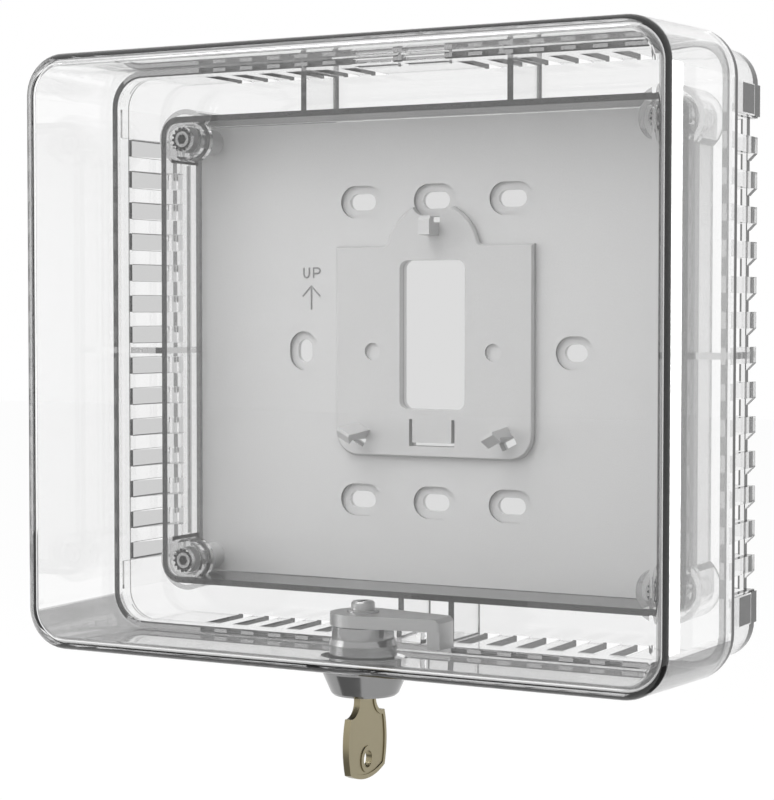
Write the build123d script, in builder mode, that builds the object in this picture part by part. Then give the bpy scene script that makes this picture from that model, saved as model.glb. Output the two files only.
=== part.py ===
from build123d import *
from math import atan, cos, degrees, radians, sin
import os

# A clear lock box that covers a wall thermostat. The origin lies on the wall, behind the middle of
# the back plate. +Z is up, +X is right as seen from the room and -Y points into the room, so a
# depth is a distance from the wall. All lengths are in millimetres and all angles in degrees.

# how far a cut runs past the face that it starts from
cut_over = 0.5

# wall plate
plate_width = 151.8
plate_height = 128.3
plate_thick = 2.5
plate_corner = 3.6
slot_spacing_x = 46.0
slot_spacing_z = 83.3
slot_recess_length = 13.0
slot_recess_width = 9.0
slot_recess_deep = 1.0
slot_hole_length = 8.2
slot_hole_width = 4.6
side_spacing = 83.3
side_recess_length = 11.0
side_hole_length = 6.5

# raised platform that carries the thermostat
platform_width = 60.6
platform_height = 58.5
platform_middle = 0.05
platform_rise = 1.8
platform_corner = 7.0
platform_top_corner = 2.2
platform_edge = 0.6
dome_radius = 14.3
dome_drop = 2.4
dome_foot_round = 1.5
wiring_width = 20.0
wiring_height = 41.0
wiring_corner = 2.4
wiring_middle = 4.7
dimple_radius = 2.4
dimple_deep = 0.8
dimple_spacing = 37.0
tongue_width = 12.0
tongue_length = 7.4
tongue_slit = 1.0
tongue_bottom = -26.0
top_clip_x = 0.4
top_clip_z = 35.4
top_clip_width = 3.4
top_clip_thick = 3.4
top_clip_foot = 3.6
top_clip_flat = 4.1
top_clip_nose = 1.8
top_clip_lead = 1.2
top_clip_rise = 5.9
top_core_length = 1.6
low_clip_x = 22.4
low_clip_z = -23.4
low_clip_angle = -62.0
low_clip_width = 4.1
low_clip_thick = 1.8
low_clip_foot = 3.0
low_clip_flat = 0.8
low_clip_nose = 1.3
low_clip_lead = 2.7
low_clip_rise = 11.0
low_core_length = 2.4
clip_hook = 0.5
core_side_gap = 0.3
core_gap = 0.1

# posts on the plate, and the screws that hold the ring to them
post_inset_x = 3.8
post_inset_z = 4.25
post_radius = 3.7
post_depth = 12.0
pilot_radius = 1.75
pilot_floor = 2.0
screw_clearance = 0.05
screw_head_radius = 3.1
screw_head_thick = 2.2
screw_length = 12.0
screw_hole_clearance = 0.25
screw_head_clearance = 0.4
screw_head_edge = 0.6
socket_radius = 1.5
socket_deep = 1.2

# ring base: floor, inner wall round the plate and slotted outer wall
plate_gap = 0.2
inner_wall = 1.7
inner_wall_depth = 20.6
floor_thick = 2.5
channel_width = 10.8
outer_wall = 1.8
outer_corner = 10.0
ring_depth = 27.0
ring_edge = 0.4
air_slot_depth = 19.6
air_slot_width = 4.7
side_pitch = 8.9
side_slots = 14
end_pitch = 8.75
end_slots = 6
end_first = 2
window_width = 3.2
rib_gusset = 1.8
window_inset = 1.8
rib_bar_length = 4.9
rib_bar_width = 4.0
rib_bar_rise = 1.1
web_thick = 1.7
top_web_spacing = 62.0
lug_radius = 6.2
lug_thick = 7.5
lug_seat = 3.0
drum_radius = 8.6
drum_wall = 1.4
drum_depth = 17.0
stop_rise = 0.6
stop_length = 8.0
stop_middle = 64.6
stop_gap = 0.3

# clear cover
rim_gap = 0.35
cover_wall = 2.4
front_thick = 2.6
cover_depth = 68.0
rim_depth = 23.5
cover_taper = 1.7
front_round = 3.6
inside_round = 1.4

# hinge hooks of the cover and their windows in the ring
hook_spacing = 15.2
hook_width = 12.0
hook_side_gap = 0.3
hook_thick = 1.6
hook_drop = 2.4
hook_reach = 2.15
hook_head_gap = 0.5
hook_root = 2.0
hook_round = 0.8
pivot_lead = 0.2
pivot_lift = 0.15
bar_lead = 0.3
window_back_gap = 0.85

# cam lock, upright in the bottom wall of the cover
lock_depth = 43.5
pad_radius = 12.4
pad_inset = 0.2
pad_thick = 1.9
nut_recess_radius = 11.0
washer_thick = 0.5
washer_radius = 11.35
head_radius = 11.3
head_end_radius = 8.9
head_height = 6.6
head_edge = 0.6
barrel_radius = 8.1
barrel_flat = 7.6
barrel_length = 11.4
barrel_gap = 0.15
nut_radius = 8.9
nut_height = 5.8
nut_edge = 0.5
nut_edge_height = 1.5
nut_gap = 0.08
plug_radius = 6.5
plug_gap = 0.07
plug_head_radius = 7.2
plug_head_thick = 1.8
plug_head_gap = 0.05
plug_inset = 0.4
plug_stand = 0.3
groove_radius = 7.05
groove_half_width = 3.1

# wafers and springs inside the plug
wafer_count = 5
wafer_first_rise = 2.9
wafer_pitch = 2.6
wafer_thick = 0.9
wafer_half_width = 2.7
wafer_half_length = 5.8
wafer_gap = 0.08
wafer_window_width = 2.3
wafer_window_length = 10.0
wafer_travel = 0.6
lug_reach = 1.3
lug_width = 1.45
lug_far_side = 2.9
spring_outer = 0.68
spring_inner = 0.44
spring_length = 3.5
spring_gap = 0.04
pocket_gap = 0.12

# key and the way it takes through the plug
key_thick = 1.8
blade_width = 7.2
blade_point = 1.6
blade_end_gap = 0.6
keyway_gap = 0.1
keyway_cover = 2.3
bitting = (0.9, 0.5, 1.1, 0.7, 0.4)
bit_flat = 0.9
key_stop_gap = 0.1
neck_half_width = 4.3
neck_length = 1.6
shoulder_half_width = 9.1
shoulder_drop = 4.1
bow_half_width = 10.3
bow_half_height = 7.3
bow_bottom_half_width = 9.2
bow_bulge = 2.1
bow_rim = 1.1
bow_recess = 0.25
key_hole_radius = 2.2
key_hole_rim = 1.3
key_hole_rise = 2.9

# cam, its washer and screw
tail_radius = 4.0
tail_flat = 2.8
tail_gap = 0.06
tail_inset = 0.15
cam_thick = 3.2
cam_hub_radius = 8.6
cam_reach = 24.5
cam_tip_half_width = 4.6
cam_tip_round = 1.5
cam_lead = 1.0
nose_thick = 3.5
nose_width = 8.0
nose_drop = 4.6
cam_washer_radius = 4.2
cam_washer_thick = 0.6
cam_screw_radius = 1.5
cam_screw_gap = 0.05
cam_screw_length = 5.0
cam_screw_end_gap = 0.4
cam_screw_head_radius = 3.1
cam_screw_head_thick = 2.3
cam_screw_head_edge = 0.5
drive_slot_width = 0.9
drive_slot_length = 4.2
drive_slot_deep = 0.9

# catch of the ring, behind which the nose of the cam turns
catch_gap = 0.4
catch_thick = 1.9
catch_from = 64.0
catch_to = 96.0
catch_below_cam = 1.2
catch_web_setback = 2.2
catch_web_left = -2.0
catch_web_right = 13.1

# sizes that follow from the ones above
post_spacing_x = plate_width - 2 * post_inset_x
post_spacing_z = plate_height - 2 * post_inset_z
inner_width = plate_width + 2 * plate_gap
inner_height = plate_height + 2 * plate_gap
inner_corner = plate_corner + plate_gap
shelf_width = inner_width + 2 * inner_wall
shelf_height = inner_height + 2 * inner_wall
shelf_corner = inner_corner + inner_wall
channel_outer_width = shelf_width + 2 * channel_width
channel_outer_height = shelf_height + 2 * channel_width
ring_width = channel_outer_width + 2 * outer_wall
ring_height = channel_outer_height + 2 * outer_wall
rim_width = ring_width + 2 * rim_gap
rim_height = ring_height + 2 * rim_gap
rim_corner = outer_corner + rim_gap
taper_angle = degrees(atan(cover_taper / (cover_depth - rim_depth)))
lug_depth = post_depth + lug_thick
screw_seat_depth = lug_depth - lug_seat
screw_radius = pilot_radius - screw_clearance
pivot_depth = rim_depth - pivot_lead
pivot_z = ring_height / 2 + pivot_lift
nose_depth = pivot_depth - hook_reach
hook_end_depth = nose_depth - hook_thick
hook_under_z = pivot_z + hook_head_gap
bar_depth = pivot_depth - bar_lead
pad_outside = pad_inset - rim_height / 2 - cover_wall
pad_inside = pad_outside + pad_thick
head_top = pad_outside - washer_thick
head_end = head_top - head_height
barrel_top = head_top + barrel_length
plug_face = head_end + plug_inset
plug_top = barrel_top + plug_stand
keyway_top = plug_top - keyway_cover
cam_top = plug_top + cam_thick
spring_x = wafer_half_width + pocket_gap + spring_outer
pocket_half_height = spring_outer + pocket_gap
spring_start = lug_width - lug_far_side + spring_gap
wafer_heights = [plug_face + wafer_first_rise + wafer_pitch * place for place in range(wafer_count)]
end_slot_places = [end_pitch * (end_first + place) for place in range(end_slots)]

os.makedirs("parts", exist_ok=True)


def depth_plane(depth):
    """Plane parallel to the wall, at a distance from it, facing the room."""
    return Plane.XZ.offset(depth)


def section_plane(x, depth=0):
    """Upright plane square to the wall at an x: its own x runs into the room from a depth."""
    return Plane(origin=(x, -depth, 0), x_dir=(0, -1, 0), z_dir=(-1, 0, 0))


def lock_plane(height):
    """Level plane whose origin lies on the axis of the lock and whose y points at the wall."""
    return Plane(origin=(0, -lock_depth, height), x_dir=(1, 0, 0), z_dir=(0, 0, 1))


def lock_profile():
    """Upright plane through the axis of the lock: x is a radius and y a height."""
    return Plane(origin=(0, -lock_depth, 0), x_dir=(1, 0, 0), z_dir=(0, -1, 0))


def lock_axis():
    """The upright axis that the plug turns on."""
    return Axis((0, -lock_depth, 0), (0, 0, 1))


def ring_outline(width, height, corner, wall):
    """Draw the outline of a wall that runs round the object, from its inside size."""
    RectangleRounded(width + 2 * wall, height + 2 * wall, corner + wall)
    RectangleRounded(width, height, corner, mode=Mode.SUBTRACT)


def double_flat(radius, flat):
    """Draw a round with two flats, as on the barrel and the tail of the lock."""
    Circle(radius)
    Rectangle(2 * flat, 2 * radius, mode=Mode.INTERSECT)


def finish(builder, node):
    """Name a finished piece and write it."""
    builder.part.label = node
    export_step(builder.part, f"parts/{node}.step")


# Wall plate: one moulding with its platform, three clips for the thermostat and four screw posts.
platform_top = platform_middle + platform_height / 2
platform_depth = plate_thick + platform_rise
slit_align = (Align.CENTER, Align.MIN)


def clip_profile(thick, foot, flat, nose, lead, rise):
    """Outline of a snap clip seen from its end: its head hangs outward over the stem."""
    with BuildLine() as outline:
        Polyline(
            (-foot, -platform_rise),
            (0, -platform_rise),
            (0, rise - lead - clip_hook),
            (nose, rise - lead),
            (flat - thick, rise),
            (-thick, rise),
            close=True,
        )
    return outline.edges()


top_clip = clip_profile(
    top_clip_thick, top_clip_foot, top_clip_flat, top_clip_nose, top_clip_lead, top_clip_rise
)
low_clip = clip_profile(
    low_clip_thick, low_clip_foot, low_clip_flat, low_clip_nose, low_clip_lead, low_clip_rise
)
clips = (
    (top_clip, top_clip_x, top_clip_z, 90, top_clip_width, top_core_length),
    (low_clip, low_clip_x, low_clip_z, low_clip_angle, low_clip_width, low_core_length),
    (low_clip, -low_clip_x, low_clip_z, 180 - low_clip_angle, low_clip_width, low_core_length),
)
with BuildPart() as wall_plate:
    with BuildSketch(depth_plane(0)):
        RectangleRounded(plate_width, plate_height, plate_corner)
    extrude(amount=plate_thick)

    with BuildSketch(depth_plane(plate_thick)) as platform:
        with Locations((0, platform_middle)):
            Rectangle(platform_width, platform_height)
        corner_rows = platform.vertices().group_by(Axis.Y)
        fillet(corner_rows[0], platform_corner)
        fillet(corner_rows[-1], platform_top_corner)
        with Locations((0, platform_top - dome_drop)):
            Circle(dome_radius)
        dome_feet = platform.vertices().group_by(Axis.Y)[-1].sort_by(Axis.X)[1:3]
        fillet(dome_feet, dome_foot_round)
    extrude(amount=platform_rise)
    platform_face = wall_plate.faces().sort_by(Axis.Y)[0]
    chamfer(platform_face.edges(), platform_edge)

    with BuildSketch(depth_plane(0)):
        with GridLocations(post_spacing_x, post_spacing_z, 2, 2):
            Circle(post_radius)
    extrude(amount=post_depth)

    # each clip stands by a hole through the plate, which a mould needs below its head
    for outline, x, z, angle, width, core_length in clips:
        turn = radians(angle)
        outward = (cos(turn), 0, sin(turn))
        sideways = (sin(turn), 0, -cos(turn))
        with BuildSketch(Plane(origin=(x, -platform_depth, z), x_dir=outward, z_dir=sideways)):
            make_face(outline)
        extrude(amount=width / 2, both=True)
        with BuildSketch(Plane(origin=(x, 0, z), x_dir=outward, z_dir=(0, -1, 0))):
            with Locations((core_gap + core_length / 2, 0)):
                Rectangle(core_length, width + 2 * core_side_gap)
        extrude(amount=platform_depth, mode=Mode.SUBTRACT)

    with BuildSketch(depth_plane(plate_thick - slot_recess_deep)):
        with GridLocations(slot_spacing_x / 2, slot_spacing_z, 3, 2):
            SlotOverall(slot_recess_length, slot_recess_width)
        with Locations((side_spacing / 2, 0)):
            SlotOverall(side_recess_length, slot_recess_width)
        with Locations((-side_spacing / 2, 0)):
            SlotOverall(side_recess_length, slot_recess_width, rotation=90)
    extrude(amount=slot_recess_deep + platform_rise, mode=Mode.SUBTRACT)

    with BuildSketch(depth_plane(0)):
        with GridLocations(slot_spacing_x / 2, slot_spacing_z, 3, 2):
            SlotOverall(slot_hole_length, slot_hole_width)
        with Locations((side_spacing / 2, 0)):
            SlotOverall(side_hole_length, slot_hole_width)
        with Locations((-side_spacing / 2, 0)):
            SlotOverall(side_hole_length, slot_hole_width, rotation=90)
        with Locations((0, wiring_middle)):
            RectangleRounded(wiring_width, wiring_height, wiring_corner)
        with Locations((0, tongue_bottom)):
            Rectangle(tongue_width + 2 * tongue_slit, tongue_length, align=slit_align)
        with Locations((0, tongue_bottom + tongue_slit)):
            Rectangle(tongue_width, tongue_length, align=slit_align, mode=Mode.SUBTRACT)
    extrude(amount=platform_depth, mode=Mode.SUBTRACT)

    with BuildSketch(depth_plane(platform_depth - dimple_deep)):
        with GridLocations(dimple_spacing, 0, 2, 1):
            Circle(dimple_radius)
    extrude(amount=dimple_deep, mode=Mode.SUBTRACT)

    with BuildSketch(depth_plane(pilot_floor)):
        with GridLocations(post_spacing_x, post_spacing_z, 2, 2):
            Circle(pilot_radius)
    extrude(amount=post_depth - pilot_floor, mode=Mode.SUBTRACT)
finish(wall_plate, "wall_plate")


# Ring base: a clear moulding round the plate. A floor joins its inner wall to the outer wall, which
# is slotted from the wall side for air, so that only ribs stand between the slots.
catch_radius = cam_reach - nose_thick - catch_gap
catch_top = plug_top - catch_below_cam
channel_middle_z = (shelf_height + channel_width) / 2
channel_middle_x = (shelf_width + channel_width) / 2
web_length = channel_width + inner_wall
wall_middle_x = (ring_width - outer_wall) / 2
wall_middle_z = (ring_height - outer_wall) / 2
window_inset_middle = window_inset + window_width / 2
side_rib_x = (channel_outer_width - rib_bar_length) / 2
rib_half_width = (side_pitch - air_slot_width) / 2
with BuildPart() as ring_base:
    with BuildSketch(depth_plane(0)):
        RectangleRounded(ring_width, ring_height, outer_corner)
        RectangleRounded(inner_width, inner_height, inner_corner, mode=Mode.SUBTRACT)
    extrude(amount=floor_thick)
    with BuildSketch(depth_plane(floor_thick)):
        ring_outline(channel_outer_width, channel_outer_height, outer_corner - outer_wall, outer_wall)
    extrude(amount=ring_depth - floor_thick)
    front_edges = ring_base.edges().group_by(Axis.Y)[0]
    chamfer(front_edges, ring_edge)
    with BuildSketch(depth_plane(floor_thick)):
        ring_outline(inner_width, inner_height, inner_corner, inner_wall)
    extrude(amount=inner_wall_depth - floor_thick)

    # hollow half drums outside the corners of the inner wall
    with BuildSketch(depth_plane(floor_thick)):
        with GridLocations(post_spacing_x, post_spacing_z, 2, 2):
            Circle(drum_radius)
        with GridLocations(post_spacing_x, post_spacing_z, 2, 2):
            Circle(drum_radius - drum_wall, mode=Mode.SUBTRACT)
        RectangleRounded(inner_width, inner_height, inner_corner, mode=Mode.SUBTRACT)
    extrude(amount=drum_depth - floor_thick)

    # screw lugs inside the corners of the inner wall, which lie on the posts of the plate
    with BuildSketch(depth_plane(post_depth)):
        with GridLocations(post_spacing_x, post_spacing_z, 2, 2):
            Circle(lug_radius)
        RectangleRounded(shelf_width, shelf_height, shelf_corner, mode=Mode.INTERSECT)
    extrude(amount=lug_thick)
    with BuildSketch(depth_plane(post_depth)):
        with GridLocations(post_spacing_x, post_spacing_z, 2, 2):
            Circle(screw_radius + screw_hole_clearance)
    extrude(amount=lug_thick, mode=Mode.SUBTRACT)
    with BuildSketch(depth_plane(screw_seat_depth)):
        with GridLocations(post_spacing_x, post_spacing_z, 2, 2):
            Circle(screw_head_radius + screw_head_clearance)
    extrude(amount=lug_seat, mode=Mode.SUBTRACT)

    # bars on the floor behind the ribs, then webs across the channel
    with BuildSketch(depth_plane(floor_thick)):
        with GridLocations(2 * side_rib_x, side_pitch, 2, side_slots - 1):
            Rectangle(rib_bar_length, rib_bar_width)
    extrude(amount=rib_bar_rise)
    with BuildSketch(depth_plane(floor_thick)):
        with GridLocations(2 * channel_middle_x, 0, 2, 1):
            Rectangle(web_length, web_thick)
        with Locations((-top_web_spacing / 2, channel_middle_z), (top_web_spacing / 2, channel_middle_z)):
            Rectangle(web_thick, web_length)
    extrude(amount=inner_wall_depth - floor_thick)
    with BuildSketch(depth_plane(floor_thick)):
        with Locations((catch_web_left, -channel_middle_z), (catch_web_right, -channel_middle_z)):
            Rectangle(web_thick, web_length)
    extrude(amount=inner_wall_depth - catch_web_setback - floor_thick)

    # air slots through the outer wall, windows through the floor at the sides and a gusset at each rib
    with BuildSketch(depth_plane(0)):
        with GridLocations(2 * wall_middle_x, side_pitch, 2, side_slots):
            Rectangle(outer_wall + cut_over, air_slot_width)
        for place in end_slot_places:
            with GridLocations(2 * place, 2 * wall_middle_z, 2, 2):
                Rectangle(air_slot_width, outer_wall + cut_over)
    extrude(amount=air_slot_depth, mode=Mode.SUBTRACT)
    with BuildSketch(depth_plane(0)):
        with GridLocations(channel_outer_width - 2 * window_inset_middle, side_pitch, 2, side_slots):
            Rectangle(window_width, air_slot_width)
    extrude(amount=floor_thick, mode=Mode.SUBTRACT)
    with BuildSketch(depth_plane(0)):
        for side in (-1, 1):
            with Locations((side * channel_outer_width / 2, -rib_half_width)):
                with GridLocations(0, side_pitch, 1, side_slots - 1):
                    Polygon((0, 0), (side * outer_wall, 0), (0, -rib_gusset), align=None)
    extrude(amount=floor_thick)

    # stops on the side walls that the rim of the cover comes to, and the windows for its hooks
    with BuildSketch(depth_plane(0)):
        with GridLocations(ring_width - outer_wall + stop_rise, 2 * stop_middle, 2, 2):
            Rectangle(outer_wall + stop_rise, stop_length)
    extrude(amount=rim_depth - stop_gap)
    window_front = bar_depth
    window_back = hook_end_depth - window_back_gap
    with BuildSketch(Plane.XY.offset(channel_outer_height / 2 - cut_over)):
        with Locations((0, -(window_front + window_back) / 2)):
            with GridLocations(hook_spacing, 0, 2, 1):
                Rectangle(hook_width + 2 * hook_side_gap, window_front - window_back)
    extrude(amount=outer_wall + 2 * cut_over, mode=Mode.SUBTRACT)

    # curved lip that the nose of the cam turns behind
    with BuildSketch(lock_plane(-wall_middle_z)):
        with BuildLine():
            outer_arc = CenterArc((0, 0), catch_radius, catch_from, catch_to - catch_from)
            inner_arc = CenterArc((0, 0), catch_radius - catch_thick, catch_from, catch_to - catch_from)
            Line(outer_arc @ 0, inner_arc @ 0)
            Line(outer_arc @ 1, inner_arc @ 1)
        make_face()
    extrude(amount=catch_top + wall_middle_z)
finish(ring_base, "ring_base")


# Ring screws: each goes through a lug of the ring into a post of the plate.
screw_head_depth = screw_seat_depth + screw_head_thick
screw_places = GridLocations(post_spacing_x, post_spacing_z, 2, 2).local_locations
for number, screw_place in enumerate(screw_places, start=1):
    with BuildPart() as ring_screw:
        with BuildSketch(depth_plane(screw_seat_depth - screw_length)):
            with Locations(screw_place):
                Circle(screw_radius)
        extrude(amount=screw_length)
        with BuildSketch(depth_plane(screw_seat_depth)):
            with Locations(screw_place):
                Circle(screw_head_radius)
        extrude(amount=screw_head_thick)
        chamfer(ring_screw.edges().group_by(Axis.Y)[0], screw_head_edge)
        with BuildSketch(depth_plane(screw_head_depth - socket_deep)):
            with Locations(screw_place):
                RegularPolygon(socket_radius, 6)
        extrude(amount=socket_deep, mode=Mode.SUBTRACT)
    finish(ring_screw, f"ring_screw_{number}")


# Cover: a tapered clear box, open to the wall. Two hooks on its top edge turn in windows of the
# ring, and its bottom wall has a flat pad outside and a flat recess inside for the lock.
with BuildPart() as cover:
    with BuildSketch(depth_plane(rim_depth)):
        RectangleRounded(rim_width + 2 * cover_wall, rim_height + 2 * cover_wall, rim_corner + cover_wall)
    extrude(amount=cover_depth - rim_depth, taper=taper_angle)
    fillet(cover.edges().group_by(Axis.Y)[0], front_round)
    with BuildSketch(depth_plane(rim_depth)):
        RectangleRounded(rim_width, rim_height, rim_corner)
    extrude(amount=cover_depth - front_thick - rim_depth, taper=taper_angle, mode=Mode.SUBTRACT)
    inside_front = cover.faces().filter_by(Axis.Y).sort_by(Axis.Y)[1]
    fillet(inside_front.edges(), inside_round)

    with BuildSketch(lock_plane(pad_outside)):
        Circle(pad_radius)
    extrude(amount=pad_thick)
    with BuildSketch(lock_plane(pad_inside)):
        Circle(nut_recess_radius)
    extrude(amount=cover_wall + cut_over, mode=Mode.SUBTRACT)
    with BuildSketch(lock_plane(pad_outside)):
        double_flat(barrel_radius + barrel_gap, barrel_flat + barrel_gap)
    extrude(amount=pad_thick, mode=Mode.SUBTRACT)

    for side in (-1, 1):
        with BuildSketch(section_plane(side * hook_spacing / 2)) as hook:
            with Locations((hook_end_depth, hook_under_z)):
                Rectangle(rim_depth + hook_root - hook_end_depth, hook_thick, align=Align.MIN)
            with Locations((hook_end_depth, pivot_z - hook_drop)):
                Rectangle(hook_thick, hook_drop + hook_head_gap + hook_thick, align=Align.MIN)
            back_corners = hook.vertices().group_by(Axis.X)[0]
            fillet(back_corners.sort_by(Axis.Y)[-1], hook_round)
        extrude(amount=hook_width / 2, both=True)
finish(cover, "cover")


# Lock washer: lies between the head of the lock and the pad of the cover.
with BuildPart() as lock_washer:
    with BuildSketch(lock_plane(head_top)):
        Circle(washer_radius)
        Circle(barrel_radius + barrel_gap, mode=Mode.SUBTRACT)
    extrude(amount=washer_thick)
finish(lock_washer, "lock_washer")


# Lock housing: a conical head below the cover and a barrel with two flats through it. Two grooves
# in its bore, and two a quarter turn on, take the ends of the wafers when the key is out.
housing_bore = plug_radius + plug_gap
head_bore = plug_head_radius + plug_gap
head_bore_top = plug_face + plug_head_thick + plug_head_gap
with BuildPart() as lock_housing:
    with BuildSketch(lock_plane(head_top)):
        double_flat(barrel_radius, barrel_flat)
    extrude(amount=barrel_length)
    with BuildSketch(lock_profile()):
        with BuildLine():
            Polyline(
                (0, head_end),
                (head_end_radius - head_edge, head_end),
                (head_end_radius, head_end + head_edge),
                (head_radius, head_top - head_edge),
                (head_radius, head_top),
                (0, head_top),
                close=True,
            )
        make_face()
    revolve(axis=lock_axis())
    with BuildSketch(lock_plane(head_end)):
        Circle(housing_bore)
    extrude(amount=barrel_top - head_end, mode=Mode.SUBTRACT)
    with BuildSketch(lock_plane(head_bore_top)):
        Rectangle(2 * groove_half_width, 2 * groove_radius)
        Rectangle(2 * groove_radius, 2 * groove_half_width)
        Circle(groove_radius, mode=Mode.INTERSECT)
    extrude(amount=barrel_top - head_bore_top, mode=Mode.SUBTRACT)
    with BuildSketch(lock_plane(head_end)):
        Circle(head_bore)
    extrude(amount=head_bore_top - head_end, mode=Mode.SUBTRACT)
finish(lock_housing, "lock_housing")


# Lock nut: a round nut on the barrel that clamps the bottom wall of the cover from inside.
with BuildPart() as lock_nut:
    with BuildSketch(lock_plane(pad_inside)):
        Circle(nut_radius)
        Circle(barrel_radius + nut_gap, mode=Mode.SUBTRACT)
    extrude(amount=nut_height)
    nut_top = lock_nut.faces().sort_by(Axis.Z)[-1]
    nut_rim = nut_top.edges().sort_by(SortBy.RADIUS)[-1]
    chamfer(nut_rim, nut_edge, nut_edge_height, reference=nut_top)
finish(lock_nut, "lock_nut")


# Lock plug: turns in the housing. It has the keyway from below, a slot across for each wafer with a
# pocket for its spring, and a tail with two flats for the cam.
wafer_slot_width = 2 * (wafer_half_width + wafer_gap)
wafer_slot_length = 2 * (plug_radius + cut_over)
wafer_slot_height = wafer_thick + 2 * wafer_gap
pocket_end_x = spring_x + spring_outer + pocket_gap
pocket_from = lug_far_side + wafer_travel + pocket_gap
pocket_to = spring_length - lug_far_side + lug_width + 2 * spring_gap
with BuildPart() as lock_plug:
    with BuildSketch(lock_plane(plug_face)):
        Circle(plug_radius)
    extrude(amount=plug_top - plug_face)
    with BuildSketch(lock_plane(plug_face)):
        Circle(plug_head_radius)
    extrude(amount=plug_head_thick)
    with BuildSketch(lock_plane(plug_top)):
        double_flat(tail_radius, tail_flat)
    extrude(amount=cam_thick - tail_inset)
    with BuildSketch(lock_plane(cam_top + cam_washer_thick - cam_screw_length - cam_screw_end_gap)):
        Circle(cam_screw_radius + cam_screw_gap)
    extrude(amount=cam_screw_length, mode=Mode.SUBTRACT)
    with BuildSketch(lock_plane(plug_face)):
        Rectangle(key_thick + 2 * keyway_gap, blade_width + 2 * keyway_gap)
    extrude(amount=keyway_top - plug_face, mode=Mode.SUBTRACT)
    for number, height in enumerate(wafer_heights):
        side = (-1) ** number
        with BuildSketch(lock_plane(height - wafer_slot_height / 2)):
            Rectangle(wafer_slot_width, wafer_slot_length)
        extrude(amount=wafer_slot_height, mode=Mode.SUBTRACT)
        with BuildSketch(lock_plane(height - pocket_half_height)):
            with Locations((0, side * (pocket_to - pocket_from) / 2)):
                Rectangle(pocket_end_x, pocket_to + pocket_from, align=(Align.MIN, Align.CENTER))
        extrude(amount=2 * pocket_half_height, mode=Mode.SUBTRACT)
finish(lock_plug, "lock_plug")


# Wafers and their springs: the lug of each wafer sits in a pocket of the plug, on its spring. A
# spring is closed, so its coils stand side by side as one tube.
for number, height in enumerate(wafer_heights):
    side = (-1) ** number
    with BuildPart() as wafer:
        with BuildSketch(lock_plane(height - wafer_thick / 2)):
            Circle(plug_radius)
            Rectangle(2 * wafer_half_width, 2 * wafer_half_length, mode=Mode.INTERSECT)
            with Locations((0, side * (lug_width / 2 - lug_far_side))):
                Rectangle(wafer_half_width + lug_reach, lug_width, align=(Align.MIN, Align.CENTER))
            Rectangle(wafer_window_width, wafer_window_length, mode=Mode.SUBTRACT)
        extrude(amount=wafer_thick)
    finish(wafer, f"wafer_{number + 1}")

    spring_origin = (spring_x, side * spring_start - lock_depth, height)
    with BuildPart() as wafer_spring:
        with BuildSketch(Plane(origin=spring_origin, x_dir=(1, 0, 0), z_dir=(0, side, 0))):
            Circle(spring_outer)
            Circle(spring_inner, mode=Mode.SUBTRACT)
        extrude(amount=spring_length)
    finish(wafer_spring, f"wafer_spring_{number + 1}")


# Cam: its arm points along the cover wall when unlocked, and its nose hangs down at the tip. The
# tip is bevelled above, where it turns in under the inner wall of the ring.
with BuildPart() as cam:
    with BuildSketch(lock_plane(plug_top)):
        Circle(cam_hub_radius)
        with Locations((cam_reach - cam_tip_round, 0)):
            with GridLocations(0, 2 * (cam_tip_half_width - cam_tip_round), 1, 2):
                Circle(cam_tip_round)
        make_hull()
        Circle(cam_reach, mode=Mode.INTERSECT)
    extrude(amount=cam_thick)
    chamfer(cam.edges().group_by(Axis.Z)[-1].sort_by(Axis.X)[-1], cam_lead)
    with BuildSketch(lock_plane(plug_top - nose_drop)):
        Circle(cam_reach)
        Circle(cam_reach - nose_thick, mode=Mode.SUBTRACT)
        Rectangle(cam_reach, nose_width, align=(Align.MIN, Align.CENTER), mode=Mode.INTERSECT)
    extrude(amount=nose_drop + cam_thick / 2)
    with BuildSketch(lock_plane(plug_top)):
        double_flat(tail_radius + tail_gap, tail_flat + tail_gap)
    extrude(amount=cam_thick, mode=Mode.SUBTRACT)
finish(cam, "cam")


# Cam washer and cam screw: they hold the cam on the tail of the plug.
with BuildPart() as cam_washer:
    with BuildSketch(lock_plane(cam_top)):
        Circle(cam_washer_radius)
        Circle(cam_screw_radius + cam_screw_gap, mode=Mode.SUBTRACT)
    extrude(amount=cam_washer_thick)
finish(cam_washer, "cam_washer")

cam_screw_seat = cam_top + cam_washer_thick
with BuildPart() as cam_screw:
    with BuildSketch(lock_plane(cam_screw_seat - cam_screw_length)):
        Circle(cam_screw_radius)
    extrude(amount=cam_screw_length)
    with BuildSketch(lock_plane(cam_screw_seat)):
        Circle(cam_screw_head_radius)
    extrude(amount=cam_screw_head_thick)
    chamfer(cam_screw.edges().group_by(Axis.Z)[-1], cam_screw_head_edge)
    with BuildSketch(lock_plane(cam_screw_seat + cam_screw_head_thick - drive_slot_deep)):
        Rectangle(drive_slot_length, drive_slot_width)
        Rectangle(drive_slot_width, drive_slot_length)
    extrude(amount=drive_slot_deep, mode=Mode.SUBTRACT)
finish(cam_screw, "cam_screw")


# Key: a flat blank with cuts for the wafers on both edges, and a bow with a raised rim and a hole.
neck_top = plug_face - key_stop_gap
neck_bottom = neck_top - neck_length
shoulder_z = neck_bottom - shoulder_drop
bow_middle_z = shoulder_z - bow_half_height
bow_bottom_z = bow_middle_z - bow_half_height
hole_z = bow_bottom_z + key_hole_rise
blade_end = keyway_top - blade_end_gap


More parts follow.
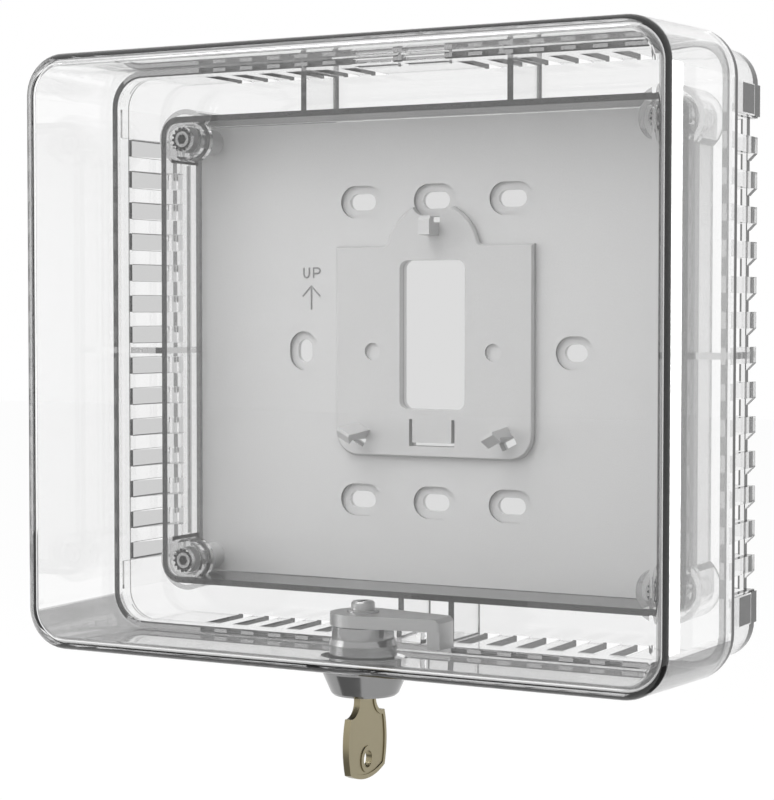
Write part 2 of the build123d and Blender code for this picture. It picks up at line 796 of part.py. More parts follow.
def key_bow():
    """Outline of the key below its blade, with the neck on top."""
    with BuildLine() as outline:
        Line((0, neck_top), (neck_half_width, neck_top))
        Line((neck_half_width, neck_top), (neck_half_width, neck_bottom))
        TangentArc((neck_half_width, neck_bottom), (shoulder_half_width, shoulder_z), tangent=(0, -1))
        ThreePointArc(
            (shoulder_half_width, shoulder_z),
            (bow_half_width, bow_middle_z),
            (bow_bottom_half_width, bow_bottom_z),
        )
        mirror(about=Plane.YZ)
        ThreePointArc(
            (bow_bottom_half_width, bow_bottom_z),
            (0, bow_bottom_z - bow_bulge),
            (-bow_bottom_half_width, bow_bottom_z),
        )
    return outline.edges()


with BuildPart() as key:
    with BuildSketch(section_plane(0, lock_depth)) as key_outline:
        make_face(key_bow())
        with Locations((0, neck_top)):
            Rectangle(blade_width, blade_end - neck_top, align=(Align.CENTER, Align.MIN))
        chamfer(key_outline.vertices().group_by(Axis.Y)[-1], blade_point)
        for height, cut in zip(wafer_heights, bitting):
            for side in (-1, 1):
                with Locations((side * blade_width / 2, height)):
                    Polygon(
                        (0, -bit_flat / 2 - cut),
                        (-side * cut, -bit_flat / 2),
                        (-side * cut, bit_flat / 2),
                        (0, bit_flat / 2 + cut),
                        align=None,
                        mode=Mode.SUBTRACT,
                    )
        with Locations((0, hole_z)):
            Circle(key_hole_radius, mode=Mode.SUBTRACT)
    extrude(amount=key_thick / 2, both=True)
    for side in (-1, 1):
        with BuildSketch(section_plane(side * key_thick / 2, lock_depth)):
            make_face(key_bow())
            offset(amount=-bow_rim, mode=Mode.REPLACE)
            with Locations((0, hole_z)):
                Circle(key_hole_radius + key_hole_rim, mode=Mode.SUBTRACT)
        extrude(amount=bow_recess, both=True, mode=Mode.SUBTRACT)
finish(key, "key")
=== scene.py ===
from math import cos, pi, radians, sin

import bmesh
import bpy
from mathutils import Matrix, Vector


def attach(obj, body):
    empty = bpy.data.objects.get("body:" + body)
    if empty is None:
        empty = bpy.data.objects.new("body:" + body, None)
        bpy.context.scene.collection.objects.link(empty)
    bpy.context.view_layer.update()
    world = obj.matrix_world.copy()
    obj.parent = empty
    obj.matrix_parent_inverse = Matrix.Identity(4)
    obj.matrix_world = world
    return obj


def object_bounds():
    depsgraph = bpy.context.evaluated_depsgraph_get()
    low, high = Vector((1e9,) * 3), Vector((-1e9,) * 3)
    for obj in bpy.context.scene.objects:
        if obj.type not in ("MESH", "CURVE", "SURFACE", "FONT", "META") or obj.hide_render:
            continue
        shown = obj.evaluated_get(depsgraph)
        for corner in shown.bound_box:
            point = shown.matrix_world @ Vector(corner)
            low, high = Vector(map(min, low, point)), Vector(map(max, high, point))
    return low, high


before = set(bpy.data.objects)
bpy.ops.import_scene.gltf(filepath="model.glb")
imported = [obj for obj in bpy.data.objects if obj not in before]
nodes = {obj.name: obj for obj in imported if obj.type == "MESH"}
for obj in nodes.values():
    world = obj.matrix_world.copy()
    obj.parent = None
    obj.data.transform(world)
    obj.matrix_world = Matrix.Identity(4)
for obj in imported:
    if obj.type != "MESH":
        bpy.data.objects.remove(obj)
cad_box = [list(corner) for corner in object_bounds()]
millimetre = 0.001

# The camera stands to the right of the box and a little above its middle, as in the photograph.
# Its axis doesn't pass through the middle of the picture, so a small shift puts the box in place.
def placed(name, data):
    """New object of the scene from a camera, lamp, mesh or curve."""
    made = bpy.data.objects.new(name, data)
    bpy.context.scene.collection.objects.link(made)
    return made


view_azimuth = radians(28.88)
view_elevation = radians(2.28)
camera_place = Vector((0.26936, -0.53699, 0.01104))
picture_width, picture_height = 774, 800
focal_pixels = 2171.7
axis_pixel_x, axis_pixel_y = 355.5, 398.2
camera_data = bpy.data.cameras.new("photo_camera")
camera_data.sensor_width = 36.0
camera_data.lens = focal_pixels * camera_data.sensor_width / picture_height
camera_data.shift_x = (picture_width / 2 - axis_pixel_x) / picture_height
camera_data.shift_y = (axis_pixel_y - picture_height / 2) / picture_height
camera_data.clip_start = 0.01
camera_data.clip_end = 20.0
camera = placed("photo_camera", camera_data)
towards_camera = Vector((
    sin(view_azimuth) * cos(view_elevation),
    -cos(view_azimuth) * cos(view_elevation),
    sin(view_elevation),
))
camera.rotation_mode = "QUATERNION"
camera.rotation_quaternion = (-towards_camera).to_track_quat("-Z", "Y")
camera.location = camera_place
bpy.context.scene.camera = camera
bpy.context.scene.view_settings.view_transform = "Standard"

# The ring and the cover are clear, and a ray passes many of their walls before it comes out. So rays
# may go on for long.
clear_wall_bounces = 40
bpy.context.scene.cycles.max_bounces = clear_wall_bounces
bpy.context.scene.cycles.transmission_bounces = clear_wall_bounces
bpy.context.scene.cycles.transparent_max_bounces = clear_wall_bounces


# The studio: a white surround that also shows in metal and through clear plastic, and soft lamps
# from above and from the left.
def new_nodes(owner, *kinds):
    """Clears a node tree and gives it one new node of each kind."""
    tree = owner.node_tree
    tree.nodes.clear()
    made = [tree.nodes.new(kind) for kind in kinds]
    return tree, made


def background_mask(tree):
    """Mask of the camera, glossy and transmission rays, to which the studio is plain white."""
    path = tree.nodes.new("ShaderNodeLightPath")
    mask = path.outputs["Is Camera Ray"]
    for ray in ("Is Glossy Ray", "Is Transmission Ray"):
        either = tree.nodes.new("ShaderNodeMath")
        either.operation = "MAXIMUM"
        tree.links.new(mask, either.inputs[0])
        tree.links.new(path.outputs[ray], either.inputs[1])
        mask = either.outputs[0]
    return mask


white = (1.0, 1.0, 1.0, 1.0)
ambient_strength, background_strength = 0.8, 1.0
world = bpy.data.worlds.new("studio")
bpy.context.scene.world = world
world.use_nodes = True
tree, (ambient, background, mix, out) = new_nodes(
    world,
    "ShaderNodeBackground",
    "ShaderNodeBackground",
    "ShaderNodeMixShader",
    "ShaderNodeOutputWorld",
)
ambient.inputs["Color"].default_value = white
ambient.inputs["Strength"].default_value = ambient_strength
background.inputs["Color"].default_value = white
background.inputs["Strength"].default_value = background_strength
tree.links.new(background_mask(tree), mix.inputs[0])
tree.links.new(ambient.outputs[0], mix.inputs[1])
tree.links.new(background.outputs[0], mix.inputs[2])
tree.links.new(mix.outputs[0], out.inputs["Surface"])

lamps = {
    "top_lamp": ((-0.25, -0.45, 0.75), 0.7, 6.0),
    "left_lamp": ((-0.9, -0.5, 0.15), 0.6, 3.0),
}
for name, (place, size, power) in lamps.items():
    lamp_data = bpy.data.lights.new(name, "AREA")
    lamp_data.size = size
    lamp_data.energy = power
    lamp = placed(name, lamp_data)
    lamp.location = place
    lamp.rotation_mode = "QUATERNION"
    lamp.rotation_quaternion = Vector(place).to_track_quat("Z", "Y")


# The floor lies below the key. It keeps a soft shadow and is otherwise as white as the surround, and
# it doesn't hide the box from below.
def mesh_object(name, points, faces, material):
    """New object from points in metres and faces, with one material."""
    mesh = bpy.data.meshes.new(name)
    mesh.from_pydata(points, [], faces)
    mesh.materials.append(material)
    return placed(name, mesh)


floor_gap = 0.06
floor_half = 3.0
floor_grey, floor_roughness = 0.95, 0.9
floor_glow_share = 0.9
floor_z = cad_box[0][2] - floor_gap
floor_corners = [
    (side * floor_half, front * floor_half, floor_z)
    for side, front in ((-1, -1), (1, -1), (1, 1), (-1, 1))
]
floor_material = bpy.data.materials.new("pale_floor")
floor_material.use_nodes = True
tree, (lit, glow, mix, share, face, open_below, through, out) = new_nodes(
    floor_material,
    "ShaderNodeBsdfPrincipled",
    "ShaderNodeEmission",
    "ShaderNodeMixShader",
    "ShaderNodeMath",
    "ShaderNodeNewGeometry",
    "ShaderNodeMixShader",
    "ShaderNodeBsdfTransparent",
    "ShaderNodeOutputMaterial",
)
lit.inputs["Base Color"].default_value = (floor_grey, floor_grey, floor_grey, 1.0)
lit.inputs["Roughness"].default_value = floor_roughness
glow.inputs["Color"].default_value = white
glow.inputs["Strength"].default_value = background_strength
share.operation = "MULTIPLY"
share.inputs[1].default_value = floor_glow_share
tree.links.new(background_mask(tree), share.inputs[0])
tree.links.new(share.outputs[0], mix.inputs[0])
tree.links.new(lit.outputs[0], mix.inputs[1])
tree.links.new(glow.outputs[0], mix.inputs[2])
tree.links.new(face.outputs["Backfacing"], open_below.inputs[0])
tree.links.new(mix.outputs[0], open_below.inputs[1])
tree.links.new(through.outputs[0], open_below.inputs[2])
tree.links.new(open_below.outputs[0], out.inputs["Surface"])
floor = mesh_object("floor", floor_corners, [(0, 1, 2, 3)], floor_material)


# Dark studio flags that lie on the floor at the left and at the right of the camera. They show only
# where polished faces mirror them, which gives the metal its upright streaks.
def seen_only_by(stage_piece, *kinds):
    """Hides a stage piece from every kind of ray but the named ones."""
    for kind in ("camera", "diffuse", "glossy", "transmission", "volume_scatter", "shadow"):
        setattr(stage_piece, "visible_" + kind, kind in kinds)


def plain_glow(name, grey, strength=1.0):
    """Material of an even brightness, for a card of the studio."""
    material = bpy.data.materials.new(name)
    material.use_nodes = True
    tree, (glow, out) = new_nodes(material, "ShaderNodeEmission", "ShaderNodeOutputMaterial")
    glow.inputs["Color"].default_value = (grey, grey, grey, 1.0)
    glow.inputs["Strength"].default_value = strength
    tree.links.new(glow.outputs[0], out.inputs["Surface"])
    return material


def curved_card(name, sweep, steps, profile, grey):
    """Card bent round the box. The sweep is two angles from the front, the profile its two rims."""
    first, last = sweep
    points = []
    for step in range(steps + 1):
        turn = radians(first + (last - first) * step / steps)
        points += [(sin(turn) * reach, -cos(turn) * reach, level) for reach, level in profile]
    faces = [(corner, corner + 1, corner + 3, corner + 2) for corner in range(0, 2 * steps, 2)]
    return mesh_object(name, points, faces, plain_glow(name, grey))


flag_inside, flag_outside = 0.10, 0.30
flag_z = floor_z + 0.003
flag_profile = [(flag_inside, flag_z), (flag_outside, flag_z)]
flag_steps = 12
for name, sweep, grey in (("left_flag", (-48.0, 8.0), 0.3), ("right_flag", (74.0, 117.0), 0.2)):
    flag = curved_card(name, sweep, flag_steps, flag_profile, grey)
    seen_only_by(flag, "glossy")


# Bright strips behind the box at the right. They are mirrored in the right side of the cover, where
# they show as upright bands of light with a darker gap between them.
cover_half_width, cover_rim_depth, cover_depth, cover_taper = 93.15, 23.5, 68.0, 1.7
side_slope = cover_taper / (cover_depth - cover_rim_depth)
strip_distance = 0.5
strip_bands = {"front_strip": (67.6, 58.2, 7.0), "rear_strip": (50.4, 25.0, 1.3)}
strip_levels = (-80.0, 82.0)


def mirrored_in_side(depth, z):
    """Where the line of sight that the right side of the cover mirrors at a point ends up."""
    x = cover_half_width - (depth - cover_rim_depth) * side_slope
    point = Vector((x, -depth, z)) * millimetre
    sight = (point - camera_place).normalized()
    outward = Vector((1.0, -side_slope, 0.0)).normalized()
    return point + sight.reflect(outward) * strip_distance


for name, (front, back, brightness) in strip_bands.items():
    low, high = strip_levels
    mirrored_corners = ((front, low), (back, low), (back, high), (front, high))
    corners = [tuple(mirrored_in_side(depth, z)) for depth, z in mirrored_corners]
    strip = mesh_object(name, corners, [(0, 1, 2, 3)], plain_glow(name, 1.0, brightness))
    seen_only_by(strip, "glossy")


# A dark card behind the box at the left. The rounded edges of clear plastic mirror it, so they stand
# out against the white surround.
edge_card_reach = 1.0
edge_card_profile = [(edge_card_reach, -0.35), (edge_card_reach, 0.45)]
edge_card_sweep = (-98.0, -149.0)
edge_card_steps = 8
edge_card_grey = 0.08
edge_card = curved_card("edge_card", edge_card_sweep, edge_card_steps, edge_card_profile, edge_card_grey)
seen_only_by(edge_card, "glossy")


# Painted shade of the wall behind the openings: glowing pale grey cards that show only through clear
# plastic, one behind the holes of the plate and one behind each air slot at the left.
plate_backing_shade_grey, slot_backing_shade_grey = 0.69, 0.58
backing_y = 0.006
backing_x, backing_z = 0.066, 0.056
slot_pitch, slot_rows = 8.9, 14
slot_half_width = 2.35
slot_depth = 19.6
channel_x = 88.6
slot_near = (-channel_x, slot_depth)
slot_far = (-84.0, 0.0)


def behind(x, depth, z):
    """Where the line of sight through a point, in millimetres, meets the plane of the cards."""
    point = Vector((x, -depth, z)) * millimetre
    share_of_way = (backing_y - camera_place.y) / (point.y - camera_place.y)
    return camera_place + (point - camera_place) * share_of_way


backing_points = [
    (side * backing_x, backing_y, level * backing_z)
    for side, level in ((-1, -1), (1, -1), (1, 1), (-1, 1))
]
slot_points = []
for row in range(slot_rows):
    middle = slot_pitch * (row - (slot_rows - 1) / 2)
    for (x, depth), side in ((slot_near, -1), (slot_far, -1), (slot_far, 1), (slot_near, 1)):
        slot_points.append(tuple(behind(x, depth, middle + side * slot_half_width)))
for name, points, grey in (("painted_shade_behind_plate", backing_points, plate_backing_shade_grey),
                           ("painted_shade_behind_slots", slot_points, slot_backing_shade_grey)):
    faces = [tuple(range(corner, corner + 4)) for corner in range(0, len(points), 4)]
    backing = mesh_object(name, points, faces, plain_glow(name, grey))
    seen_only_by(backing, "transmission")


# Wall plate: an opaque grey moulding with a fine satin face. It lies on the wall and carries the
# thermostat, the ring and the marks that say which way up it goes.
def build_shade_zone():
    """Node group: paints shade on the faces inside a box of the part that are turned by a given amount."""
    group = bpy.data.node_groups.new("shade_zone", "ShaderNodeTree")
    sockets = group.interface
    sockets.new_socket("Shade", in_out="OUTPUT", socket_type="NodeSocketFloat")
    for name in ("Place", "Facing", "Middle", "Half", "Direction"):
        sockets.new_socket(name, in_out="INPUT", socket_type="NodeSocketVector")
    for name in ("Least", "Most", "Strength", "Shade"):
        sockets.new_socket(name, in_out="INPUT", socket_type="NodeSocketFloat")
    source = group.nodes.new("NodeGroupInput")
    result = group.nodes.new("NodeGroupOutput")

    def step(kind, operation, *inputs):
        node = group.nodes.new(kind)
        node.operation = operation
        for socket, value in zip(node.inputs, inputs):
            if isinstance(value, float):
                socket.default_value = value
            else:
                group.links.new(value, socket)
        return node.outputs["Value" if operation == "DOT_PRODUCT" or kind == "ShaderNodeMath" else "Vector"]

    given = source.outputs
    offset = step("ShaderNodeVectorMath", "SUBTRACT", given["Place"], given["Middle"])
    distance = step("ShaderNodeVectorMath", "ABSOLUTE", offset)
    past = step("ShaderNodeVectorMath", "SUBTRACT", distance, given["Half"])
    parts = group.nodes.new("ShaderNodeSeparateXYZ")
    group.links.new(past, parts.inputs[0])
    furthest = step("ShaderNodeMath", "MAXIMUM", parts.outputs["X"], parts.outputs["Y"])
    furthest = step("ShaderNodeMath", "MAXIMUM", furthest, parts.outputs["Z"])
    inside = step("ShaderNodeMath", "LESS_THAN", furthest, 0.0)
    turned = step("ShaderNodeVectorMath", "DOT_PRODUCT", given["Facing"], given["Direction"])
    turned = step("ShaderNodeMath", "ABSOLUTE", turned)
    enough = step("ShaderNodeMath", "GREATER_THAN", turned, given["Least"])
    not_past = step("ShaderNodeMath", "LESS_THAN", turned, given["Most"])
    chosen = step("ShaderNodeMath", "MULTIPLY", enough, not_past)
    chosen = step("ShaderNodeMath", "MULTIPLY", chosen, inside)
    deep = step("ShaderNodeMath", "MULTIPLY", chosen, given["Strength"])
    deepest = step("ShaderNodeMath", "MAXIMUM", deep, given["Shade"])
    group.links.new(deepest, result.inputs["Shade"])
    return group


shade_zone = build_shade_zone()
directions = {"x": (1, 0, 0), "depth": (0, 1, 0), "z": (0, 0, 1)}
face_slack = 0.2


def zone(strength, turned=None, least=0.9, most=1.1, **spans):
    """A zone of painted shade in millimetres. Each of x, depth and z is a span, or one number for a flat face
    there.

    Without such a number, the faces are chosen by how far they are turned along one of the three.
    """
    low, high = [], []
    for axis in directions:
        span = spans[axis]
        if not isinstance(span, tuple):
            turned = axis
            span = (span - face_slack, span + face_slack)
        low.append(span[0])
        high.append(span[1])
    return low, high, directions[turned], least, most, strength


def shade_zones(tree, place, facing, zones, shade=None):
    """Chains zones of painted shade, each on top of the shade so far, and returns the socket of the last one.
    """
    for low, high, direction, least, most, strength in zones:
        here = tree.nodes.new("ShaderNodeGroup")
        here.node_tree = shade_zone
        here.inputs["Middle"].default_value = [(a + b) / 2 * millimetre for a, b in zip(low, high)]
        here.inputs["Half"].default_value = [(b - a) / 2 * millimetre for a, b in zip(low, high)]
        here.inputs["Direction"].default_value = direction
        here.inputs["Least"].default_value = least
        here.inputs["Most"].default_value = most
        here.inputs["Strength"].default_value = strength
        tree.links.new(place, here.inputs["Place"])
        tree.links.new(facing, here.inputs["Facing"])
        if shade is not None:
            tree.links.new(shade, here.inputs["Shade"])
        shade = here.outputs["Shade"]
    return shade


def part_places(tree):
    """Places on the part: as they are, with depth from the wall, and folded to one quarter; and facing."""
    coordinates = tree.nodes.new("ShaderNodeTexCoord")
    from_wall = tree.nodes.new("ShaderNodeVectorMath")
    from_wall.operation = "MULTIPLY"
    from_wall.inputs[1].default_value = (1, -1, 1)
    tree.links.new(coordinates.outputs["Object"], from_wall.inputs[0])
    quarter = tree.nodes.new("ShaderNodeVectorMath")
    quarter.operation = "ABSOLUTE"
    tree.links.new(from_wall.outputs[0], quarter.inputs[0])
    place, facing = coordinates.outputs["Object"], coordinates.outputs["Normal"]
    return place, from_wall.outputs[0], quarter.outputs[0], facing


def darkened(tree, colour, shade):
    """Turns a colour, given as a socket or as three numbers, to black where shade is painted on it."""
    painted_shade_mix = tree.nodes.new("ShaderNodeMix")
    painted_shade_mix.data_type = "RGBA"
    painted_shade_mix.inputs["B"].default_value = (0.0, 0.0, 0.0, 1.0)
    if isinstance(colour, bpy.types.NodeSocket):
        tree.links.new(colour, painted_shade_mix.inputs["A"])
    else:
        painted_shade_mix.inputs["A"].default_value = list(colour) + [1.0]
    tree.links.new(shade, painted_shade_mix.inputs["Factor"])
    return painted_shade_mix.outputs["Result"]


def build_fine_grain():
    """Node group: fine uneven grain, as a height and as a roughness that wanders between two values."""
    group = bpy.data.node_groups.new("fine_grain", "ShaderNodeTree")
    sockets = group.interface
    for name in ("Height", "Roughness"):
        sockets.new_socket(name, in_out="OUTPUT", socket_type="NodeSocketFloat")
    sockets.new_socket("Place", in_out="INPUT", socket_type="NodeSocketVector")
    for name in ("Scale", "Detail", "Least", "Most"):
        sockets.new_socket(name, in_out="INPUT", socket_type="NodeSocketFloat")
    given = group.nodes.new("NodeGroupInput").outputs
    noise = group.nodes.new("ShaderNodeTexNoise")
    wander = group.nodes.new("ShaderNodeMapRange")
    result = group.nodes.new("NodeGroupOutput")
    group.links.new(given["Place"], noise.inputs["Vector"])
    group.links.new(given["Scale"], noise.inputs["Scale"])
    group.links.new(given["Detail"], noise.inputs["Detail"])
    group.links.new(noise.outputs["Fac"], wander.inputs["Value"])
    group.links.new(given["Least"], wander.inputs["To Min"])
    group.links.new(given["Most"], wander.inputs["To Max"])
    group.links.new(noise.outputs["Fac"], result.inputs["Height"])
    group.links.new(wander.outputs["Result"], result.inputs["Roughness"])
    return group


fine_grain = build_fine_grain()
roughness_spread = 0.05


def grained(tree, place, shader, roughness, grain_size, detail, strength, height):
    """Gives a surface its fine grain: a roughness that wanders and a bump, with sizes in millimetres."""
    grain = tree.nodes.new("ShaderNodeGroup")
    grain.node_tree = fine_grain
    grain.inputs["Scale"].default_value = 1.0 / (grain_size * millimetre)
    grain.inputs["Detail"].default_value = detail
    grain.inputs["Least"].default_value = roughness - roughness_spread
    grain.inputs["Most"].default_value = roughness + roughness_spread
    bump = tree.nodes.new("ShaderNodeBump")
    bump.inputs["Strength"].default_value = strength
    bump.inputs["Distance"].default_value = height * millimetre
    tree.links.new(place, grain.inputs["Place"])
    tree.links.new(grain.outputs["Height"], bump.inputs["Height"])
    tree.links.new(grain.outputs["Roughness"], shader.inputs["Roughness"])
    tree.links.new(bump.outputs["Normal"], shader.inputs["Normal"])


plastic_grain_detail, plastic_grain_strength = 3.0, 0.35
drift_scale = 18.0


def moulded_plastic(name, grey, roughness, variation, grain_size, grain_height, zones=()):
    """Opaque moulded plastic: a grey that drifts a little, a fine grain and painted shade in recesses."""
    material = bpy.data.materials.new(name)
    material.use_nodes = True
    tree, (drift, tint, shader, out) = new_nodes(
        material,
        "ShaderNodeTexNoise",
        "ShaderNodeMix",
        "ShaderNodeBsdfPrincipled",
        "ShaderNodeOutputMaterial",
    )
    place, _, quarter, facing = part_places(tree)
    drift.inputs["Scale"].default_value = drift_scale
    tint.data_type = "RGBA"
    tint.inputs["A"].default_value = [grey * (1 - variation)] * 3 + [1.0]
    tint.inputs["B"].default_value = [grey * (1 + variation)] * 3 + [1.0]
    tree.links.new(place, drift.inputs["Vector"])
    tree.links.new(drift.outputs["Fac"], tint.inputs["Factor"])
    colour = tint.outputs["Result"]
    if zones:
        colour = darkened(tree, colour, shade_zones(tree, quarter, facing, zones))
    tree.links.new(colour, shader.inputs["Base Color"])
    grained(tree, place, shader, roughness, grain_size, plastic_grain_detail, plastic_grain_strength,
            grain_height)
    tree.links.new(shader.outputs[0], out.inputs["Surface"])
    return material


def dress(node, material):
    """Gives a node of the frame its finished material."""
    nodes[node].data.materials.clear()
    nodes[node].data.materials.append(material)


plate_front, platform_front = 2.5, 4.3
recess_walls, platform_walls = (1.45, 2.45), (2.6, 4.2)
# Painted shade in the plate's colour: darker walls of the recesses, darker sides of the platform and a
# slightly darker front of the platform.
plate_painted_shade = [
    zone(0.45, x=(0, 70), depth=recess_walls, z=(0, 60), turned="depth", least=-1.0, most=0.5),
    zone(0.22, x=(0, 32), depth=platform_walls, z=(0, 50), turned="depth", least=-1.0, most=0.8),
    zone(0.08, x=(0, 32), depth=platform_front, z=(0, 52)),
]
plate_material = moulded_plastic("plate_grey", 0.49, roughness=0.5, variation=0.02, grain_size=0.8,
                                 grain_height=0.1, zones=plate_painted_shade)
dress("wall_plate", plate_material)


# Marks of the plate: the word UP and an arrow, moulded as fine raised strokes left of the platform,
# in the plastic of the plate and a shade darker.
mark_radius = 0.26
mark_depth = plate_front + 0.02
mark_material = moulded_plastic("mark_grey", 0.22, roughness=0.5, variation=0.02, grain_size=0.8,
                                grain_height=0.1)
letter_u = [
    (-41.6, 23.5), (-41.6, 21.7), (-41.3, 20.95), (-40.7, 20.7), (-40.1, 20.95), (-39.8, 21.7), (-39.8, 23.5),
]
letter_p = [
    (-38.4, 20.65), (-38.4, 23.45), (-37.2, 23.45), (-36.5, 23.2), (-36.25, 22.65), (-36.5, 22.1),
    (-37.2, 21.9), (-38.4, 21.9),
]
arrow_shaft = [(-39.1, 11.65), (-39.1, 18.3)]
arrow_head = [(-41.95, 15.45), (-39.1, 18.35), (-36.25, 15.45)]


def raised_strokes(name, strokes, material):
    """Fine round ribs along the strokes of a mark, half sunk in the plate."""
    curve = bpy.data.curves.new(name, "CURVE")
    curve.dimensions = "3D"
    curve.bevel_depth = mark_radius * millimetre
    curve.bevel_resolution = 3
    curve.use_fill_caps = True
    for stroke in strokes:
        line = curve.splines.new("POLY")
        line.points.add(len(stroke) - 1)
        for point, (x, z) in zip(line.points, stroke):
            point.co = (x * millimetre, -mark_depth * millimetre, z * millimetre, 1.0)
    curve.materials.append(material)
    return placed(name, curve)


for name, strokes in (("mark_up", [letter_u, letter_p]), ("mark_arrow", [arrow_shaft, arrow_head])):
    mark = raised_strokes(name, strokes, mark_material)
    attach(mark, "base")


# Ring base: one clear moulding round the plate, polished outside. Painted shade darkens the narrow end
# faces of its walls and slots, and light that travels far inside the plastic before it leaves there darkens
# them too.
def slot_row_places(tree, from_wall, quarter):
    """Places with all the rows of air slots laid over one, and what lies past the rows pushed away."""
    sides, parts, row, past, pushed, folded = [
        tree.nodes.new("ShaderNode" + kind)
        for kind in ("SeparateXYZ", "SeparateXYZ", "Math", "Math", "Math", "CombineXYZ")
    ]
    row.operation = "MODULO"
    row.inputs[1].default_value = slot_pitch * millimetre
    past.operation = "GREATER_THAN"
    past.inputs[1].default_value = slot_pitch * slot_rows / 2 * millimetre
    pushed.operation = "ADD"
    tree.links.new(from_wall, sides.inputs[0])
    tree.links.new(quarter, parts.inputs[0])
    tree.links.new(parts.outputs["Z"], row.inputs[0])
    tree.links.new(parts.outputs["Z"], past.inputs[0])
    tree.links.new(past.outputs[0], pushed.inputs[0])
    tree.links.new(sides.outputs["X"], pushed.inputs[1])
    tree.links.new(pushed.outputs[0], folded.inputs["X"])
    tree.links.new(parts.outputs["Y"], folded.inputs["Y"])
    tree.links.new(row.outputs[0], folded.inputs["Z"])
    return folded.outputs[0]


def squared_clearness(tree, shade):
    """How clear a face is under its painted shade. It is squared, because the shader takes the root of its
    colour at a face.
    """
    clear, squared = [tree.nodes.new("ShaderNodeMath") for _ in range(2)]
    clear.operation = "SUBTRACT"
    clear.inputs[0].default_value = 1.0
    squared.operation = "MULTIPLY"
    tree.links.new(shade, clear.inputs[1])
    tree.links.new(clear.outputs[0], squared.inputs[0])
    tree.links.new(clear.outputs[0], squared.inputs[1])
    return squared.outputs[0]


clear_index = 1.58
absorption_colour = (0.5, 0.5, 0.5, 1.0)


def clear_plastic(name, absorbing, roughness, shadow_tint, quarter_zones, row_zones, side_zones):
    """Clear polished plastic that darkens where light travels far inside it, and with painted shade at the
    given faces.
    """
    material = bpy.data.materials.new(name)
    material.use_nodes = True
    tree, (path, through, mix, shader, inside, out) = new_nodes(
        material,
        "ShaderNodeLightPath",
        "ShaderNodeBsdfTransparent",
        "ShaderNodeMixShader",
        "ShaderNodeBsdfPrincipled",
        "ShaderNodeVolumeAbsorption",
        "ShaderNodeOutputMaterial",
    )
    _, from_wall, quarter, facing = part_places(tree)
    shade = shade_zones(tree, quarter, facing, quarter_zones)
    if row_zones:
        shade = shade_zones(tree, slot_row_places(tree, from_wall, quarter), facing, row_zones, shade)
    shade = shade_zones(tree, from_wall, facing, side_zones, shade)
    tree.links.new(squared_clearness(tree, shade), shader.inputs["Base Color"])
    shader.inputs["Roughness"].default_value = roughness
    shader.inputs["IOR"].default_value = clear_index
    shader.inputs["Transmission Weight"].default_value = 1.0
    through.inputs["Color"].default_value = (shadow_tint, shadow_tint, shadow_tint, 1.0)
    inside.inputs["Color"].default_value = absorption_colour
    inside.inputs["Density"].default_value = absorbing
    tree.links.new(path.outputs["Is Shadow Ray"], mix.inputs[0])
    tree.links.new(shader.outputs[0], mix.inputs[1])
    tree.links.new(through.outputs[0], mix.inputs[2])
    tree.links.new(mix.outputs[0], out.inputs["Surface"])
    tree.links.new(inside.outputs[0], out.inputs["Volume"])
    return material


ring_floor, inner_wall_depth = 2.5, 20.6
plate_side_x, plate_side_z = 76.1, 64.35
inner_wall_x, outer_x, stop_outside_x = 77.8, 90.4, 91.0
side_wall, end_wall = (88.3, 90.7), (76.5, 79)
slot_sides = (0.1, 19.55)
slot_z, slotted_z = (2.1, 6.8), (-62.5, 62.5)
below_slot, above_slot = (-0.1, 2.1), (6.8, 9.0)
bar_x, bar_front = (-86.2, -84.8), 3.6

# Painted shade in every quarter: the front of the inner wall, the sides and ends of the air slots, the webs
# across the channel, a line round the corners, and the inside of the wall above and below the plate.
ring_painted_shade = [
    zone(0.97, x=(0, 80), depth=inner_wall_depth, z=(0, 70)),
    zone(0.8, x=side_wall, depth=slot_sides, z=(0, 66), turned="z"),
    zone(0.9, x=side_wall, depth=slot_depth, z=(0, 66)),
    zone(0.85, x=(0, 72), depth=slot_sides, z=end_wall, turned="x"),
    zone(0.9, x=(0, 72), depth=slot_depth, z=end_wall),
    zone(0.9, x=(0, 34), depth=(17, 21.1), z=(66, 77.5), turned="depth"),
    zone(0.8, x=(30.1, 31.9), depth=(2.4, 4.6), z=(64.5, 77), turned="x"),
    zone(0.7, x=(60, 89), depth=(20.9, 21.4), z=(62.3, 80), turned="depth", least=-1.0, most=0.3),
    zone(0.95, x=(0, 75), depth=(ring_floor, inner_wall_depth), z=plate_side_z),
]

# Painted shade in every row of slots at the sides: at the left the wall before each slot, the lines beside it
# and the bars on the floor, and at the right the wall between the slots and the windows in the floor.
ring_row_painted_shade = [
    zone(0.85, x=-channel_x, depth=(19.5, 21.4), z=slot_z),
    zone(0.7, x=-channel_x, depth=(0.1, slot_depth), z=(1.93, 2.15)),
    zone(0.7, x=-channel_x, depth=(0.1, slot_depth), z=(6.75, 6.97)),
    zone(0.8, x=bar_x, depth=bar_front, z=(0.0, 2.0)),
    zone(0.8, x=bar_x, depth=bar_front, z=(6.9, 8.9)),
    zone(0.5, x=channel_x, depth=(18.6, 23.2), z=below_slot),
    zone(0.5, x=channel_x, depth=(18.6, 23.2), z=above_slot),
    zone(0.85, x=(86.6, 88.55), depth=(0.0, ring_floor), z=slot_z, turned="x"),
    zone(0.8, x=(86.6, 87.3), depth=ring_floor, z=slot_z),
]
